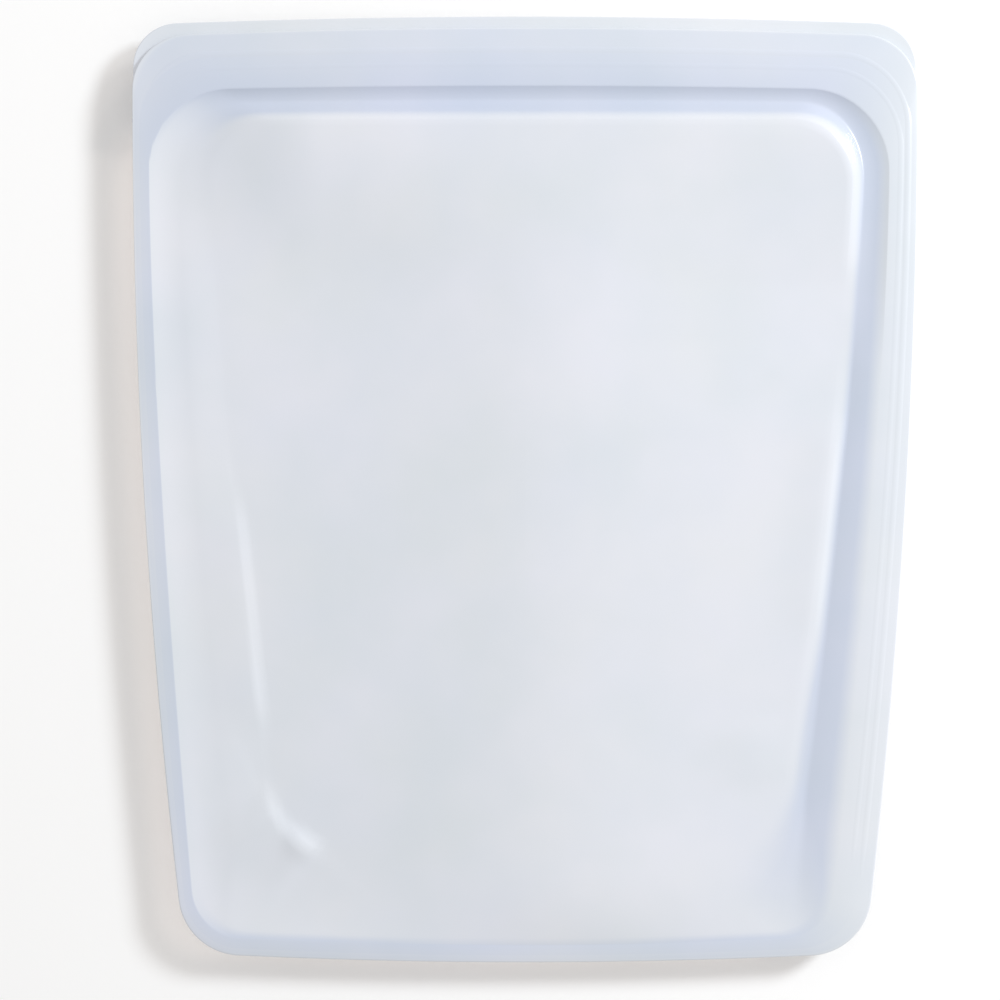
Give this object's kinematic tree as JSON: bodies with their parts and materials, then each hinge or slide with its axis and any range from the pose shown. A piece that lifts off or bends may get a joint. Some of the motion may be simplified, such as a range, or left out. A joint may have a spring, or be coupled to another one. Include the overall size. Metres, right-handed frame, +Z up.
{
  "type": "reusable silicone bag",
  "caption": "Flat silicone storage bag lying on its back: two dished halves bonded round the sides and base, with a press-seal mouth whose lips open.",
  "frame": {"origin": "on the table under the middle of the bag, at the centre of its outline", "axes": "+Z up out of the front panel, +Y from the base towards the mouth, +X across the bag"},
  "size_m": [0.212, 0.256, 0.0145],
  "materials": {
    "silicone_panel": "satin",
    "silicone_wall": "satin",
    "silicone_rim": "satin",
    "silicone_mouth": "satin"
  },
  "bodies": {
    "pouch": {"front_panel": "silicone_panel", "back_panel": "silicone_panel", "front_left_wall": "silicone_wall", "front_right_wall": "silicone_wall", "front_base_wall": "silicone_wall", "back_left_wall": "silicone_wall", "back_right_wall": "silicone_wall", "back_base_wall": "silicone_wall", "left_edge_bond": "silicone_rim", "right_edge_bond": "silicone_rim", "base_edge_bond": "silicone_rim", "left_seal_end": "silicone_mouth", "right_seal_end": "silicone_mouth"},
    "front_flap": {"front_mouth_wall": "silicone_wall", "front_seal_ribs": "silicone_mouth", "front_pull_lip": "silicone_mouth"},
    "back_flap": {"back_mouth_wall": "silicone_wall", "back_seal_grooves": "silicone_mouth", "back_pull_lip": "silicone_mouth"}
  },
  "joints": [
    {"name": "front_lip_opens", "type": "hinge", "parent": "pouch", "child": "front_flap", "pos_m": [0, 0.0988, 0.0145], "axis": [1, 0, 0], "range_deg": [0, 65], "stiffness_Nm_per_rad": 0.05},
    {"name": "back_lip_opens", "type": "hinge", "parent": "pouch", "child": "back_flap", "pos_m": [0, 0.0988, 0], "axis": [-1, 0, 0], "range_deg": [0, 14], "stiffness_Nm_per_rad": 0.2}
  ]
}
